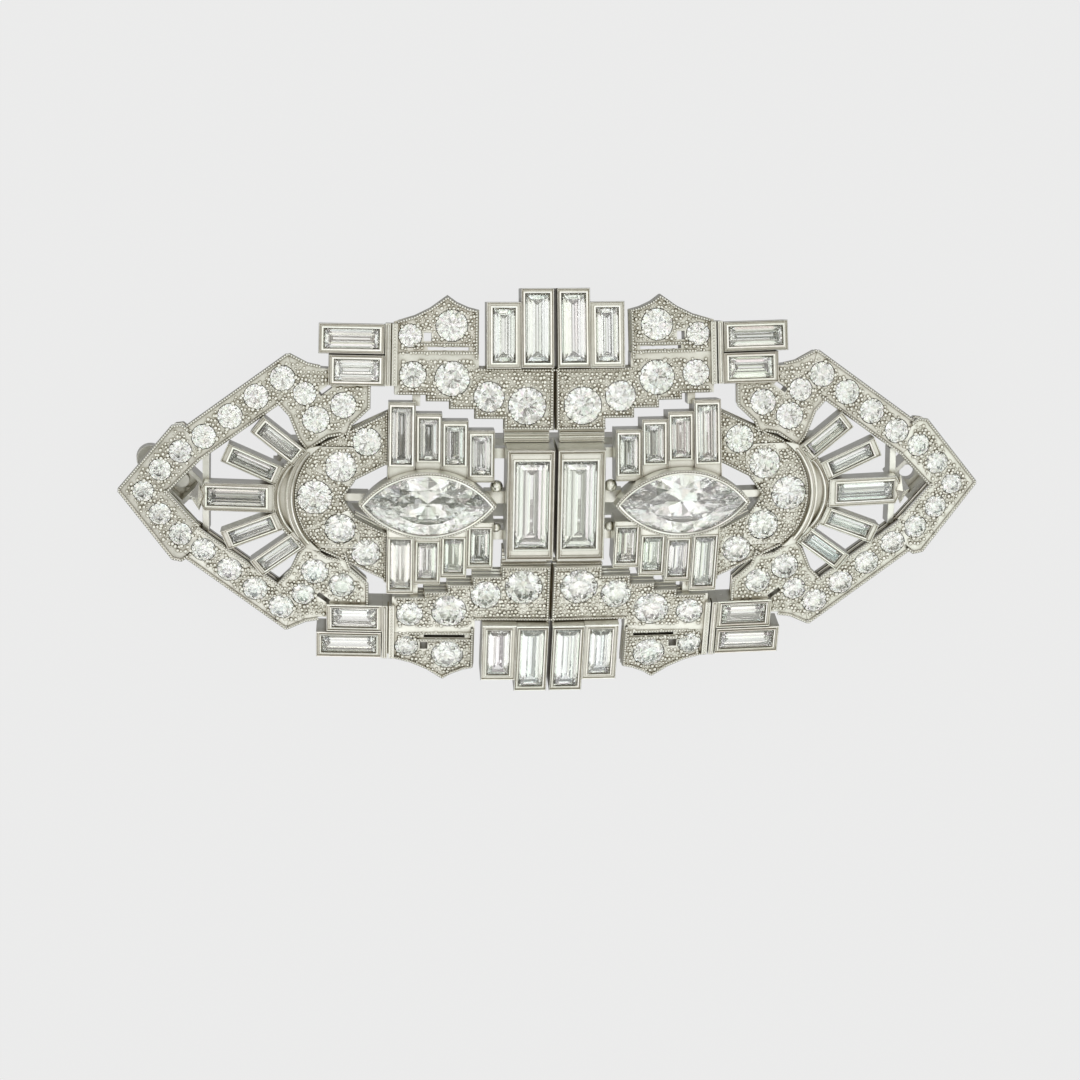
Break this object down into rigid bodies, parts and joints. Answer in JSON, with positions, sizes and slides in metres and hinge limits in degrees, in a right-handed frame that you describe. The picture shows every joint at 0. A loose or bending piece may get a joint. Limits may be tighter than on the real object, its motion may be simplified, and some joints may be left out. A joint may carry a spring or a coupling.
{
  "type": "double clip brooch",
  "caption": "Domed lozenge brooch of two mirrored clips on a back frame with a pin, pierced and set with round, baguette and marquise clear stones.",
  "frame": {"origin": "middle of the side that the brooch rests on, below the join of the two clips", "axes": "+X along the brooch's length, +Y towards its upper edge as worn, +Z out of its face"},
  "size_m": [0.0668, 0.0328, 0.0093],
  "materials": {
    "platinum": "polished, with fine beaded edges",
    "white_metal": "satin",
    "diamond": "cut and polished"
  },
  "bodies": {
    "root": {"brooch_frame": "white_metal", "mount_left": "platinum", "mount_right": "platinum", "clip_fitting_left": "white_metal", "clip_fitting_right": "white_metal", "marquise_left": "diamond", "marquise_right": "diamond", "centre_baguette_left": "diamond", "centre_baguette_right": "diamond", "fan_baguette_left_1": "diamond", "fan_baguette_left_2": "diamond", "fan_baguette_left_3": "diamond", "fan_baguette_left_4": "diamond", "fan_baguette_left_5": "diamond", "fan_baguette_right_1": "diamond", "fan_baguette_right_2": "diamond", "fan_baguette_right_3": "diamond", "fan_baguette_right_4": "diamond", "fan_baguette_right_5": "diamond", "end_baguette_left_1": "diamond", "end_baguette_left_2": "diamond", "end_baguette_left_3": "diamond", "end_baguette_left_4": "diamond", "end_baguette_right_1": "diamond", "end_baguette_right_2": "diamond", "end_baguette_right_3": "diamond", "end_baguette_right_4": "diamond", "corner_baguette_left_1": "diamond", "corner_baguette_left_2": "diamond", "corner_baguette_left_3": "diamond", "corner_baguette_left_4": "diamond", "corner_baguette_right_1": "diamond", "corner_baguette_right_2": "diamond", "corner_baguette_right_3": "diamond", "corner_baguette_right_4": "diamond", "upper_flank_baguettes_left": "diamond", "upper_flank_baguettes_right": "diamond", "lower_flank_baguettes_left": "diamond", "lower_flank_baguettes_right": "diamond", "rim_rounds_left": "diamond", "rim_rounds_right": "diamond", "arc_rounds_left": "diamond", "arc_rounds_right": "diamond", "upper_rounds_left": "diamond", "upper_rounds_right": "diamond", "lower_rounds_left": "diamond", "lower_rounds_right": "diamond"}
  },
  "joints": []
}
